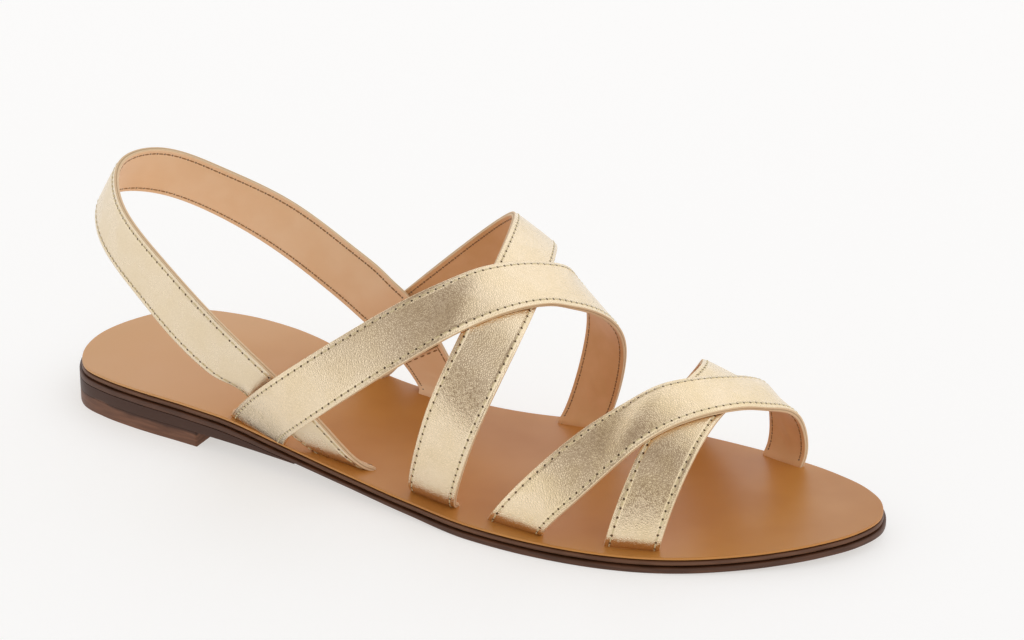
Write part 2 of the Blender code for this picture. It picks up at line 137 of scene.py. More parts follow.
# Paths of the straps: share of the length, side as a share of the ball width, height over the
# footbed as a share of the strap's rise, and lean of its width in degrees
INSTEP_OVER = (
    (0.371, -0.594, 0.327, -31),
    (0.466, -0.571, 0.680, -19),
    (0.543, -0.411, 0.906, -23),
    (0.593, -0.131, 0.923, -32),
    (0.623, 0.136, 0.765, -36),
    (0.622, 0.333, 0.450, -27),
)
INSTEP_UNDER = (
    (0.572, -0.565, 0.450, -11),
    (0.591, -0.440, 0.758, -23),
    (0.582, -0.143, 0.928, -32),
    (0.552, 0.186, 0.973, -31),
    (0.516, 0.368, 0.885, -20),
    (0.434, 0.386, 0.570, -16),
)
TOE_OVER = (
    (0.699, -0.531, 0.480, -2),
    (0.747, -0.381, 0.825, -3),
    (0.793, -0.170, 0.952, -16),
    (0.827, 0.067, 0.825, -27),
    (0.844, 0.294, 0.484, -27),
)
TOE_UNDER = (
    (0.799, -0.435, 0.618, -10),
    (0.801, -0.157, 0.896, -19),
    (0.796, 0.100, 0.872, -18),
    (0.772, 0.295, 0.710, -8),
    (0.742, 0.385, 0.400, -6),
)
SLING = (
    (0.326, -0.490, 0.305, 12),
    (0.252, -0.540, 0.556, 1),
    (0.180, -0.487, 0.757, 1),
    (0.116, -0.374, 0.870, -3),
    (0.069, -0.221, 0.953, -19),
    (0.052, -0.070, 1.000, -30),
    (0.072, 0.075, 0.976, -20),
    (0.125, 0.199, 0.854, -1),
    (0.201, 0.278, 0.678, 10),
    (0.285, 0.288, 0.490, 12),
    (0.370, 0.255, 0.305, 7),
)
ELASTIC_START = 0.893
ELASTIC_END = 0.937
ELASTIC_TUCK = 0.006
FOOT_AXIS = -0.10
SLING_AXIS = (0.12, -0.037)
print("sole", round(LENGTH / MM), "mm long and", round(BALL_WIDTH / MM), "mm wide at the ball")

# %% [markdown]
# ## From the pattern to curves
#
# Two kinds of curve are needed. The side view of the sole must stay flat where it is flat, so
# it uses a curve that never overshoots its points. The outline and the straps should flow, so
# they use curves that share their direction at each point.


# %% Curves of the sole
def along_to_x(along):
    """Turn a share of the length into a place in metres."""
    return along * LENGTH - LIFT_LENGTH / 2


def glide(knots, values, at):
    """Read a curve through knots that never overshoots them."""
    steps = np.diff(knots)
    slopes = np.diff(values) / steps
    bends = np.zeros(len(knots))
    product = slopes[:-1] * slopes[1:]
    rising = product > 0
    bends[1:-1][rising] = 2 * product[rising] / (slopes[:-1] + slopes[1:])[rising]
    at = np.clip(at, knots[0], knots[-1])
    left = np.clip(np.searchsorted(knots, at) - 1, 0, len(steps) - 1)
    share = (at - knots[left]) / steps[left]
    lower = values[left] * (1 + 2 * share) + bends[left] * steps[left] * share
    upper = values[left + 1] * (3 - 2 * share) - bends[left + 1] * steps[left] * (1 - share)
    return lower * (1 - share) ** 2 + upper * share ** 2


def under_layers(x):
    """Height of the plane that the sole's full layers stand on."""
    table = np.array(PROFILE)
    heights = table[:, 1] * HEEL_RISE + table[:, 2] * TOE_SPRING
    return glide(table[:, 0], heights, (x + LIFT_LENGTH / 2) / LENGTH)


def under_outsole(x):
    """Height of the outsole's lower face, which rises a little under the waist."""
    table = np.array(PROFILE)
    thinning = glide(table[:, 0], table[:, 3], (x + LIFT_LENGTH / 2) / LENGTH)
    return under_layers(x) + thinning * WAIST_THINNING


def footbed_top(x):
    """Height of the face that the foot rests on."""
    return under_layers(x) + LAYERS


def outline(offset=0.0, steps=12):
    """Return the sole's edge as one loop, with the place of the toe in it."""
    rows = [(along_to_x(along), middle * BALL_WIDTH, width * share / 2)
            for along, width, share, middle in OUTLINE]
    outer = [(x, middle - half) for x, middle, half in rows]
    inner = [(x, middle + half) for x, middle, half in rows]
    heel, toe = (along_to_x(0), HEEL_MIDDLE * BALL_WIDTH), (along_to_x(1), 0.0)
    points = np.array([heel, *outer, toe, *inner[::-1]])
    after = np.roll(points, -1, axis=0) - points
    reach = np.linalg.norm(after, axis=1)[:, None]
    before, back = np.roll(after, 1, axis=0), np.roll(reach, 1, axis=0)
    pull = (before / back * reach + after / reach * back) / (back + reach)
    share = (np.arange(steps) / steps)[None, :, None]
    start, end = points[:, None], np.roll(points, -1, axis=0)[:, None]
    leave, arrive = (pull * reach)[:, None], (np.roll(pull, -1, axis=0) * reach)[:, None]
    loop = (start * (1 + 2 * share) * (1 - share) ** 2 + leave * share * (1 - share) ** 2
            + end * (3 - 2 * share) * share ** 2 - arrive * (1 - share) * share ** 2).reshape(-1, 2)
    run = np.roll(loop, -1, axis=0) - np.roll(loop, 1, axis=0)
    run /= np.linalg.norm(run, axis=1)[:, None]
    return loop + offset * np.stack([run[:, 1], -run[:, 0]], axis=1), (len(OUTLINE) + 1) * steps


def slot_corners(name):
    """Return the rear and front corner of a slot, on the footbed."""
    rear, front, rear_inset, front_inset = SLOTS[name]
    corners = []
    for along, inset in ((rear, rear_inset), (front, front_inset)):
        loop, toe_place = outline(-inset * SLOT_INSET)
        if name.endswith("outer"):
            edge = loop[:toe_place + 1]
        else:
            edge = np.vstack([loop[toe_place:], loop[:1]])[::-1]
        x = along_to_x(along)
        corners.append(np.array((x, np.interp(x, edge[:, 0], edge[:, 1]), footbed_top(x) + GAP)))
    return corners


print("heel", round(footbed_top(0.0) / MM, 1), "mm high on the footbed")


# %% Curves of the straps
def unit(vectors):
    """Scale vectors to length one."""
    return vectors / np.linalg.norm(vectors, axis=-1, keepdims=True)


def spline(knots, points, at):
    """Read a natural cubic spline through points that lie at the given knots."""
    count = len(points)
    steps = np.diff(knots)[:, None]
    slopes = np.diff(points, axis=0) / steps
    system = np.eye(count)
    pull = np.zeros_like(points)
    for row in range(1, count - 1):
        before, after = steps[row - 1, 0], steps[row, 0]
        system[row, row - 1:row + 2] = (before, 2 * (before + after), after)
        pull[row] = 6 * (slopes[row] - slopes[row - 1])
    bend = np.linalg.solve(system, pull)
    left = np.clip(np.searchsorted(knots, at, side="right") - 1, 0, count - 2)
    step = steps[left]
    share = (np.asarray(at) - knots[left])[:, None] / step
    return (points[left] * (1 - share) + points[left + 1] * share
            + ((1 - share) ** 3 - (1 - share)) * bend[left] * step ** 2 / 6
            + (share ** 3 - share) * bend[left + 1] * step ** 2 / 6)


def strap_edges(rows, slots, rise, width, outward_from):
    """Work out a strap's rear and front edge, with the length along its middle at each row."""
    corners = [slot_corners(name) for name in slots]
    middle = [sum(corners[0]) / 2]
    for along, side, height, _ in rows:
        x = along_to_x(along)
        middle.append(np.array((x, side * BALL_WIDTH, footbed_top(x) + height * rise)))
    middle = np.array([*middle, sum(corners[1]) / 2])
    knots = np.append(0, np.cumsum(np.linalg.norm(np.diff(middle, axis=0), axis=1)))
    nudge = knots[-1] * 1e-3
    ahead = spline(knots, middle, np.clip(knots + nudge, 0, knots[-1]))
    behind = spline(knots, middle, np.clip(knots - nudge, 0, knots[-1]))
    run = unit(ahead - behind)
    rear, front = [corners[0][0]], [corners[0][1]]
    for place, (_, _, _, lean) in enumerate(rows, start=1):
        outward = outward_from(middle[place])
        outward = unit(outward - np.dot(outward, run[place]) * run[place])
        across = -np.cross(outward, run[place])
        lean = math.radians(lean)
        half = (math.cos(lean) * across + math.sin(lean) * outward) * width / 2
        rear.append(middle[place] - half)
        front.append(middle[place] + half)
    return knots, np.array([*rear, corners[1][0]]), np.array([*front, corners[1][1]])


def from_foot_axis(point):
    """Point away from the foot's long axis, just over the floor."""
    return unit(np.array((0.0, point[1] - FOOT_AXIS * BALL_WIDTH, point[2])))


def from_heel_axis(point):
    """Point away from the middle of the heel, level with the floor."""
    ahead = min(point[0] - along_to_x(SLING_AXIS[0]), 0.0)
    return unit(np.array((ahead, point[1] - SLING_AXIS[1] * BALL_WIDTH, 0.0)))


# %% [markdown]
# ## A strap's middle surface
#
# A leather strap is cut flat and then bent over the foot. So the script first works out the
# curved surface that runs through the middle of the leather, as a grid of points. Where one
# strap crosses another it is lifted to lie on it, as real leather does. At its ends it bulges
# out a little and rolls in to its slot, because the leather is stiff and the slot is tight.

# %% Surfaces of the straps
STRAP = 1.8 * MM
ROW_PITCH = 0.5 * MM
COLUMNS = 13

# How near a crossing counts, and how far beside it the upper strap stays lifted and fades back
LAY_NEAR = 1.2 * MM
LAY_MARGIN = 2.5 * MM
LAY_FADE = 9 * MM
LAY_SOFTNESS = 2.5 * MM

# How deep a tail goes into its slot, and how far, how tightly and how long an end rolls out
TAIL_DEPTH = 2 * MM
ROLL_BULGE = 2.5 * MM
ROLL_RADIUS = 2.6 * MM
ROLL_FADE = 16 * MM


def plain_sheet(edges, start=0.0, end=1.0, share=1.0):
    """Fill the surface between two strap edges with a grid of points."""
    knots, rear, front = edges
    rows = round(knots[-1] * (end - start) / ROW_PITCH)
    at = knots[-1] * np.linspace(start, end, rows + 1)
    rear, front = spline(knots, rear, at), spline(knots, front, at)
    across = np.linspace(-share, share, COLUMNS)[None, :, None]
    return (rear + front)[:, None] / 2 + (front - rear)[:, None] / 2 * across


def facings(sheet, outward_from):
    """Return the outward normals of a sheet."""
    run, across = np.gradient(sheet, axis=0), np.gradient(sheet, axis=1)
    normals = unit(np.cross(across, run))
    outward = np.array([outward_from(row[COLUMNS // 2]) for row in sheet])
    return normals * np.sign((normals[:, COLUMNS // 2] * outward).sum())


def soften(shift):
    """Even out a shift along a strap, as stiff leather does."""
    reach = np.arange(-3 * LAY_SOFTNESS, 3 * LAY_SOFTNESS, ROW_PITCH)
    weight = np.exp(-(reach / LAY_SOFTNESS) ** 2 / 2)
    padded = np.pad(shift, ((len(reach), len(reach)), (0, 0), (0, 0)), mode="edge")
    even = np.apply_along_axis(np.convolve, 0, padded, weight / weight.sum(), mode="same")
    return even[len(reach):-len(reach)]


def lay_over(sheet, carrier, carrier_normals, lift, width, keep_inside=False):
    """Move a strap to a given height over the strap that it crosses, fading out beside it."""
    middle, normal = carrier[:, COLUMNS // 2], carrier_normals[:, COLUMNS // 2]
    across = unit(carrier[:, -1] - carrier[:, 0])
    run = unit(np.gradient(middle, axis=0))
    flat, fade = width / 2 + LAY_MARGIN, width / 2 + LAY_FADE
    shift = np.zeros_like(sheet)
    for place in np.ndindex(sheet.shape[:2]):
        away = sheet[place] - middle
        along = np.abs((away * run).sum(axis=1))
        side = np.abs((away * across).sum(axis=1))
        height = (away * normal).sum(axis=1)
        beside = (side < fade) & (np.abs(height) < width)
        best = int(np.argmin(np.where(beside, along, np.inf)))
        if not beside[best] or along[best] > LAY_NEAR:
            continue
        share = np.clip((fade - side[best]) / (fade - flat), 0, 1)
        miss = lift - height[best]
        if keep_inside:
            miss = min(miss, 0)
        shift[place] = normal[best] * miss * share ** 2 * (3 - 2 * share)
    return sheet + soften(shift)


def finish_band(sheet, outward_from, width, tail_start, tail_end):
    """Roll a sheet's ends into their slots and keep what bending a flat strip along it needs."""
    normals = facings(sheet, outward_from)
    middle = sheet[:, COLUMNS // 2]
    run = np.append(0, np.cumsum(np.linalg.norm(np.diff(middle, axis=0), axis=1)))
    drop = np.arange(1, round(TAIL_DEPTH / ROW_PITCH) + 1)[:, None, None] * np.array((0, 0, -ROW_PITCH))
    for tail, away in ((tail_start, run), (tail_end, run[-1] - run)):
        if tail:
            roll = (1 - np.exp(-away / ROLL_RADIUS)) * np.exp(-(away / ROLL_FADE) ** 2)
            sheet = sheet + normals * ROLL_BULGE * roll[:, None, None]
    if tail_start:
        sheet = np.vstack([sheet[:1] + drop[::-1], sheet])
    if tail_end:
        sheet = np.vstack([sheet, sheet[-1:] + drop])
    middle = sheet[:, COLUMNS // 2]
    run = np.append(0, np.cumsum(np.linalg.norm(np.diff(middle, axis=0), axis=1)))
    return {"sheet": sheet, "normals": facings(sheet, outward_from), "run": run, "width": width,
            "mouths": (TAIL_DEPTH if tail_start else 0.0, run[-1] - (TAIL_DEPTH if tail_end else 0.0))}


def bend_on(band, points):
    """Bend points of a flat strip, given as (along, across, height), onto a band."""
    along, across, height = np.asarray(points).T
    row = np.interp(along, band["run"], np.arange(len(band["run"])))
    column = np.clip((across / band["width"] + 0.5) * (COLUMNS - 1), 0, COLUMNS - 1)
    low_row = np.minimum(row.astype(int), len(band["run"]) - 2)
    low_column = np.minimum(column.astype(int), COLUMNS - 2)
    row, column = (row - low_row)[:, None], (column - low_column)[:, None]

    def read(grid):
        near = grid[low_row, low_column] * (1 - column) + grid[low_row, low_column + 1] * column
        far = grid[low_row + 1, low_column] * (1 - column) + grid[low_row + 1, low_column + 1] * column
        return near * (1 - row) + far * row

    return read(band["sheet"]) + unit(read(band["normals"])) * height[:, None]


# %% Lay the straps over each other
CROWN = 0.15 * MM


def crossed_bands(over_rows, under_rows, keys, rise, width):
    """Work out the two bands of one crossing, the upper one laid over the lower."""
    sheets = {}
    for role, rows in (("under", under_rows), ("over", over_rows)):
        slots = [f"{keys}_{role}_{side}" for side in ("outer", "inner")]
        sheets[role] = plain_sheet(strap_edges(rows, slots, rise, width, from_foot_axis))
    carrier = facings(sheets["under"], from_foot_axis)
    sheets["over"] = lay_over(sheets["over"], sheets["under"], carrier, STRAP + CROWN, width)
    bands = [finish_band(sheets[role], from_foot_axis, width, True, True) for role in ("over", "under")]
    return sheets, bands


instep_sheets, (instep_over, instep_under) = crossed_bands(
    INSTEP_OVER, INSTEP_UNDER, "instep", INSTEP_RISE, INSTEP_STRAP_WIDTH)
_, (toe_over, toe_under) = crossed_bands(TOE_OVER, TOE_UNDER, "toe", TOE_RISE, TOE_STRAP_WIDTH)

sling_edges = strap_edges(SLING, ("sling_outer", "sling_inner"), SLING_RISE, SLING_WIDTH, from_heel_axis)
sling_bands = {}
for name, start, end, share, tails in (
    ("sling_strap", 0.0, ELASTIC_START, 1.0, (True, False)),
    ("elastic", ELASTIC_START - ELASTIC_TUCK, ELASTIC_END + ELASTIC_TUCK,
     ELASTIC_WIDTH / SLING_WIDTH, (False, False)),
    ("sling_tab", ELASTIC_END, 1.0, 1.0, (False, True)),
):
    sheet = plain_sheet(sling_edges, start, end, share)
    for role in ("over", "under"):
        carrier = instep_sheets[role]
        sheet = lay_over(sheet, carrier, facings(carrier, from_foot_axis), -(STRAP + 2 * GAP),
                         INSTEP_STRAP_WIDTH, keep_inside=True)
    sling_bands[name] = finish_band(sheet, from_heel_axis, SLING_WIDTH * share, *tails)
for name, band in (("instep over", instep_over), ("instep under", instep_under), ("toe over", toe_over),
                   ("toe under", toe_under), *sling_bands.items()):
    print(name, "is", round(band["run"][-1] / MM), "mm long")

# %% [markdown]
# ## Mixing the finishes
#
# Every finish here is a Principled shader fed by a few pattern nodes. Small helpers keep that
# readable: one turns a colour from a hex code into the linear values that Blender needs, one
# adds a node with its settings and links, and two start a material and link patterns to it.

# %% Helpers for materials
SMOOTH = {"interpolation_type": "SMOOTHSTEP"}
BLEND = {"data_type": "RGBA"}


def linear(hex_code):
    """Return linear RGBA from an sRGB hex code."""
    channels = [int(hex_code[place:place + 2], 16) / 255 for place in (1, 3, 5)]
    return [c / 12.92 if c <= 0.04045 else ((c + 0.055) / 1.055) ** 2.4 for c in channels] + [1.0]


def add_node(owner, kind, settings, inputs, output=0):
    """Add a node whose inputs come by key or in their own order, and return one output."""
    made = owner.node_tree.nodes.new("ShaderNode" + kind)
    for name, value in settings.items():
        setattr(made, name, value)
    for key, value in inputs.items() if isinstance(inputs, dict) else enumerate(inputs):
        if isinstance(value, bpy.types.NodeSocket):
            owner.node_tree.links.new(value, made.inputs[key])
        else:
            made.inputs[key].default_value = value
    return made.outputs[output]


def new_finish(name, **values):
    """Start a Principled material and return it with its shader."""
    material = bpy.data.materials.new(name)
    material.use_nodes = True
    shader = material.node_tree.nodes["Principled BSDF"]
    for key, value in values.items():
        shader.inputs[key.replace("_", " ").title().replace("Ior", "IOR")].default_value = value
    return material, shader


def feed(material, shader, **sockets):
    """Link patterns to the shader's inputs."""
    for key, socket in sockets.items():
        material.node_tree.links.new(socket, shader.inputs[key.replace("_", " ").title()])


# %% [markdown]
# ## Stitches as holes and threads
#
# A lockstitch runs along both edges of each strap. What the eye sees are small dark needle
# holes with a short raised thread between them; the holes' darkness is painted shade, over a
# small dip in the bump. The holes are a pattern in the leather's own material, placed by two
# values that each strap's mesh carries: how far a point lies along the strap, and how far from
# its edge. The threads are small meshes, made further on.

# %% Needle holes
STITCH_PITCH = 2.45 * MM
STITCH_INSET = 1.35 * MM
HOLE_RADIUS = 0.29 * MM
HOLE_CORE, HOLE_RIM = 0.6 * HOLE_RADIUS, 1.35 * HOLE_RADIUS
GROOVE_WIDTH = 0.8 * MM


def needle_holes(material):
    """Return 1 in the needle holes, fading to 0 over their rims, and 0 to 1 beside the seam."""
    side, off = (add_node(material, "Attribute", {"attribute_name": name}, {}, "Fac")
                 for name in ("along", "from_edge"))
    for operation, value in (("DIVIDE", STITCH_PITCH), ("FRACT", 0.0), ("SUBTRACT", 0.5),
                             ("MULTIPLY", STITCH_PITCH)):
        side = add_node(material, "Math", {"operation": operation}, (side, value))
    off = add_node(material, "Math", {"operation": "SUBTRACT"}, (off, STITCH_INSET))
    spot = add_node(material, "CombineXYZ", {}, (side, off))
    away = add_node(material, "VectorMath", {"operation": "LENGTH"}, (spot,), "Value")
    holes = add_node(material, "MapRange", SMOOTH, (away, HOLE_CORE, HOLE_RIM, 1.0, 0.0))
    off = add_node(material, "Math", {"operation": "ABSOLUTE"}, (off,))
    return holes, add_node(material, "MapRange", SMOOTH, (off, 0.0, GROOVE_WIDTH))


# %% [markdown]
# ## Gold foil leather
#
# The straps are sheep leather with a thin metallic foil pressed on. The foil reflects like
# metal, tinted a pale champagne gold, but the leather under it keeps its pebbled grain, so
# reflections are broken and soft. A Voronoi pattern draws the pebbles, about 0.6 mm across,
# and noise bends it so no row repeats. The line of stitches pulls the leather down a little.
# Real grain is finer still: it is drawn as coarse as it needs to show in a picture.

# %% Foil leather
PEBBLE = 0.58 * MM
FOLD = 9 * MM
GRAIN_DEPTH = 0.072 * MM
FURROW_SHADE_TINT = 0.16
DOME_RISE, FINE_RISE, SEAM_DIP, HOLE_DIP = 0.55, 0.35, 2.2, 5.0
HOLE_SHADE_TINT = 0.92
FOIL_METALLIC = 0.94


def make_foil(name, light, deep, roughness, grain):
    """Metallic foil on grained leather: bright, slightly uneven, and broken by pebbles."""
    material, shader = new_finish(name, metallic=FOIL_METALLIC, roughness=roughness)
    flat = add_node(material, "UVMap", {"uv_map": "strip"}, {})
    drift = add_node(material, "TexNoise", {},
                     {"Vector": flat, "Scale": 1 / (2 * PEBBLE), "Detail": 2.0}, "Color")
    bent = add_node(material, "VectorMath", {"operation": "MULTIPLY_ADD"},
                    (drift, (PEBBLE, PEBBLE, 0), flat))
    pebbles = add_node(material, "TexVoronoi", {"feature": "DISTANCE_TO_EDGE"},
                       {"Vector": bent, "Scale": 1 / PEBBLE}, "Distance")
    domes = add_node(material, "MapRange", SMOOTH, (pebbles, 0.0, 0.32))
    fine = add_node(material, "TexNoise", {}, {"Vector": flat, "Scale": 4 / PEBBLE, "Detail": 2.0})
    holes, groove = needle_holes(material)
    height = 0.0
    for relief, rise in ((domes, DOME_RISE), (fine, FINE_RISE), (groove, SEAM_DIP), (holes, -HOLE_DIP)):
        height = add_node(material, "Math", {"operation": "MULTIPLY_ADD"}, (relief, rise, height))
    bump = add_node(material, "Bump", {},
                    {"Strength": 1.0, "Distance": grain * GRAIN_DEPTH, "Height": height})
    worn = add_node(material, "TexNoise", {}, {"Vector": flat, "Scale": 1 / FOLD, "Detail": 3.0})
    patches = add_node(material, "MapRange", SMOOTH, (worn, 0.35, 0.65))
    # The furrows between pebbles are darkened: partly painted shade that keeps the grain in view, partly
    # the duller foil that sits in real furrows.
    furrow_shade = add_node(material, "MapRange", SMOOTH, (pebbles, 0.0, 0.25, grain * FURROW_SHADE_TINT, 0.0))
    # The needle holes are painted dark: painted shade in the holes, over their dip in the bump.
    holes = add_node(material, "Math", {"operation": "MULTIPLY"}, (holes, HOLE_SHADE_TINT))
    colour = linear(deep)
    for share, tint in ((patches, light), (furrow_shade, "#8F7345"), (holes, "#4B300C")):
        colour = add_node(material, "Mix", BLEND, {0: share, 6: colour, 7: linear(tint)}, 2)
    rough = add_node(material, "MapRange", SMOOTH, (worn, 0.3, 0.7, roughness + 0.02, roughness - 0.02))
    feed(material, shader, base_color=colour, roughness=rough, normal=bump)
    return material


foil = make_foil("champagne_foil_leather", "#F4E1C2", "#F1DDBB", 0.20, 1.0)
toe_foil = make_foil("bright_foil_leather", "#F4E0BF", "#F0DBB5", 0.20, 1.0)
sling_foil = make_foil("soft_foil_leather", "#EDDCC0", "#EBD9BA", 0.28, 0.6)
tab_foil = make_foil("worn_foil_leather", "#EEDAB9", "#E9D3AC", 0.28, 0.8)
print("foil finishes: 4, pebbles", round(PEBBLE / MM, 2), "mm")

# %% [markdown]
# ## Lining, cut edge and thread
#
# Inside, each strap is lined with soft undyed pigskin: a pinkish tan with a silky, almost matte
# face and tiny pores. The cut edge shows both layers, with a dark line painted between them:
# painted shade for the groove where the two layers meet. The thread is a waxed polyester, pale
# gold on the outside and tan on the lining.

# %% Lining leather, cut edge and thread
PORE = 0.45 * MM
LINING_CLOUD = 12 * MM
PORE_RISE, LINING_SEAM_DIP, LINING_HOLE_DIP = 0.4, 1.0, 2.5
FIBRE = 0.5 * MM
LINING_HOLE_SHADE_TINT, SEAM_SHADE_TINT = 0.85, 0.55
THREAD_TONE = 1.5 * MM


def make_lining(name, light, deep):
    """Soft lining leather: silky, pinkish tan, with fine pores."""
    material, shader = new_finish(name, roughness=0.58, ior=1.45, sheen_weight=0.25)
    flat = add_node(material, "UVMap", {"uv_map": "strip"}, {})
    cloud = add_node(material, "TexNoise", {},
                     {"Vector": flat, "Scale": 1 / LINING_CLOUD, "Detail": 4.0})
    pores = add_node(material, "TexNoise", {}, {"Vector": flat, "Scale": 1 / PORE, "Detail": 3.0})
    holes, groove = needle_holes(material)
    height = 0.0
    for relief, rise in ((pores, PORE_RISE), (groove, LINING_SEAM_DIP), (holes, -LINING_HOLE_DIP)):
        height = add_node(material, "Math", {"operation": "MULTIPLY_ADD"}, (relief, rise, height))
    bump = add_node(material, "Bump", {}, {"Strength": 0.5, "Distance": 0.10 * MM, "Height": height})
    clouds = add_node(material, "MapRange", SMOOTH, (cloud, 0.3, 0.7))
    # The needle holes in the lining are painted dark too: painted shade in the holes.
    holes = add_node(material, "Math", {"operation": "MULTIPLY"}, (holes, LINING_HOLE_SHADE_TINT))
    colour = linear(deep)
    for share, tint in ((clouds, light), (holes, "#4A2C18")):
        colour = add_node(material, "Mix", BLEND, {0: share, 6: colour, 7: linear(tint)}, 2)
    feed(material, shader, base_color=colour, normal=bump)
    return material


def make_cut_edge():
    """The cut edge of foil leather and lining: pale raw fibre with a painted dark line of shade where
    the layers meet.
    """
    material, shader = new_finish("cut_edge", roughness=0.65)
    place = add_node(material, "TexCoord", {}, {}, "Object")
    fibre = add_node(material, "TexNoise", {}, {"Vector": place, "Scale": 1 / FIBRE, "Detail": 3.0})
    # A dark line along the middle of the edge is painted shade, for the groove between foil leather and
    # lining.
    seam_shade = add_node(material, "Attribute", {"attribute_name": "depth"}, {}, "Fac")
    for operation, value in (("SUBTRACT", 0.1), ("ABSOLUTE", 0.0)):
        seam_shade = add_node(material, "Math", {"operation": operation}, (seam_shade, value))
    seam_shade = add_node(material, "MapRange", SMOOTH, (seam_shade, 0.1, 0.3, SEAM_SHADE_TINT, 0.0))
    colour = linear("#D9B68E")
    for share, tint in ((fibre, "#EBD2AC"), (seam_shade, "#8A6238")):
        colour = add_node(material, "Mix", BLEND, {0: share, 6: colour, 7: linear(tint)}, 2)
    bump = add_node(material, "Bump", {}, {"Strength": 0.4, "Distance": 0.1 * MM, "Height": fibre})
    feed(material, shader, base_color=colour, normal=bump)
    return material


def make_thread(name, light, deep):
    """Waxed polyester thread: matte with a slight shine, twisted too finely to show."""
    material, shader = new_finish(name, roughness=0.5, metallic=0.25)
    place = add_node(material, "TexCoord", {}, {}, "Object")
    tone = add_node(material, "TexNoise", {}, {"Vector": place, "Scale": 1 / THREAD_TONE, "Detail": 1.0})
    colour = add_node(material, "Mix", BLEND, {0: tone, 6: linear(deep), 7: linear(light)}, 2)
    feed(material, shader, base_color=colour)
    return material


lining = make_lining("sling_lining", "#F6D3AC", "#F2CBA0")
# The crossed straps get a darker copy of the same lining: painted shade for the insides of those straps.
shaded_lining = make_lining("shaded_strap_lining", "#E4B584", "#DAA873")
cut_edge = make_cut_edge()
gold_thread = make_thread("gold_thread", "#E6D7B0", "#CDBB8C")
tan_thread = make_thread("tan_thread", "#A87E52", "#8A6038")
print("linings: 2, threads: 2")

# %% [markdown]
# ## Cutting a strap flat and bending it
#
# This works as at the bench. A flat strip is made as a grid, given its thickness, and its long
# edges are skived thinner and rounded. While it is still flat it gets its pattern coordinates
# in real metres, so the grain stays the same size everywhere. Then every point is bent onto the
# strap's surface.

# %% Strap builder
STRIP_PITCH = 0.62 * MM
RIM_ROUND = 0.25 * MM
EDGE_THIN = 0.14
SKIVE_START = 0.7
OUTER_FACE_TURN = 0.4


def half_thickness(across, width, wall):
    """Half the leather's thickness, which thins out towards the skived edges."""
    share = np.clip((np.abs(across) * 2 / width - SKIVE_START) / (1 - SKIVE_START), 0, 1)
    return wall / 2 * (1 - EDGE_THIN * share ** 2 * (3 - 2 * share))


def shape_strip(points, band, wall, folds):
    """Skive, crown and crease a flat strip, whose heights go from -1 to 1."""
    along, across, side = points.T
    crown = CROWN * (1 - (across * 2 / band["width"]) ** 2) * (side > 0)
    height = half_thickness(across, band["width"], wall) * side + crown
    for fold_along, fold_across, angle, length, breadth, depth in folds:
        turn = math.radians(angle)
        a, c = along - fold_along, across - fold_across
        down, beside = a * math.cos(turn) + c * math.sin(turn), -a * math.sin(turn) + c * math.cos(turn)
        height = height + depth * np.exp(-(down / length) ** 2 - (beside / breadth) ** 2)
    return np.stack([along, across, height], axis=1)


def flat_strip(length, width):
    """Make a flat strip of a strap's thickness with rounded rims, from 0 to its length."""
    strip = bmesh.new()
    bmesh.ops.create_grid(strip, x_segments=round(length / STRIP_PITCH),
                          y_segments=round(width / STRIP_PITCH), size=0.5)
    bmesh.ops.scale(strip, vec=(length, width, 1), verts=strip.verts)
    bmesh.ops.translate(strip, vec=(length / 2, 0, -STRAP / 2), verts=strip.verts)
    raised = bmesh.ops.extrude_face_region(strip, geom=strip.faces[:])["geom"]
    upper = [v for v in raised if isinstance(v, bmesh.types.BMVert)]
    bmesh.ops.translate(strip, vec=(0, 0, STRAP), verts=upper)
    bmesh.ops.recalc_face_normals(strip, faces=strip.faces)
    rims = [edge for edge in strip.edges if edge.calc_face_angle(0) > 1]
    bmesh.ops.bevel(strip, geom=rims, offset=RIM_ROUND, segments=2, profile=0.5, affect="EDGES",
                    material=-1, clamp_overlap=True)
    return strip


def coordinates(builder):
    """Return a bmesh's points as an array."""
    return np.array([vert.co for vert in builder.verts])


def finish_piece(name, builder, materials):
    """Turn a bmesh into a named piece that rides on the sandal's one body."""
    mesh = bpy.data.meshes.new(name)
    bmesh.ops.recalc_face_normals(builder, faces=builder.faces)
    builder.to_mesh(mesh)
    builder.free()
    mesh.shade_smooth()
    piece = bpy.data.objects.new(name, mesh)
    for material in materials:
        mesh.materials.append(material)
    bpy.context.scene.collection.objects.link(piece)
    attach(piece, "root")
    print(name, len(mesh.vertices), "points")
    return piece


def make_strap(name, band, materials, wall=STRAP, folds=()):
    """Make one strap: foil outside, cut edge round it and lining inside."""
    strip = flat_strip(band["run"][-1], band["width"])
    uv = strip.loops.layers.uv.new("strip")
    layers = [strip.verts.layers.float.new(key) for key in ("along", "from_edge", "depth")]
    for face in strip.faces:
        up = face.normal.z
        face.material_index = 0 if up > OUTER_FACE_TURN else 2 if up < -OUTER_FACE_TURN else 1
        for loop in face.loops:
            loop[uv].uv = loop.vert.co.xy
    for vert in strip.verts:
        along, across, height = vert.co
        for layer, value in zip(layers, (along, band["width"] / 2 - abs(across), height * 2 / STRAP)):
            vert[layer] = value
    points = coordinates(strip)
    points[:, 2] *= 2 / STRAP
    for vert, place in zip(strip.verts, bend_on(band, shape_strip(points, band, wall, folds))):
        vert.co = place
    return finish_piece(name, strip, materials)


# %% Threads of one strap
THREAD_LENGTH = 1.75 * MM
THREAD_WIDTH = 0.46 * MM
THREAD_HEIGHT = 0.34 * MM
THREAD_SIDES, THREAD_RINGS = 6, 5


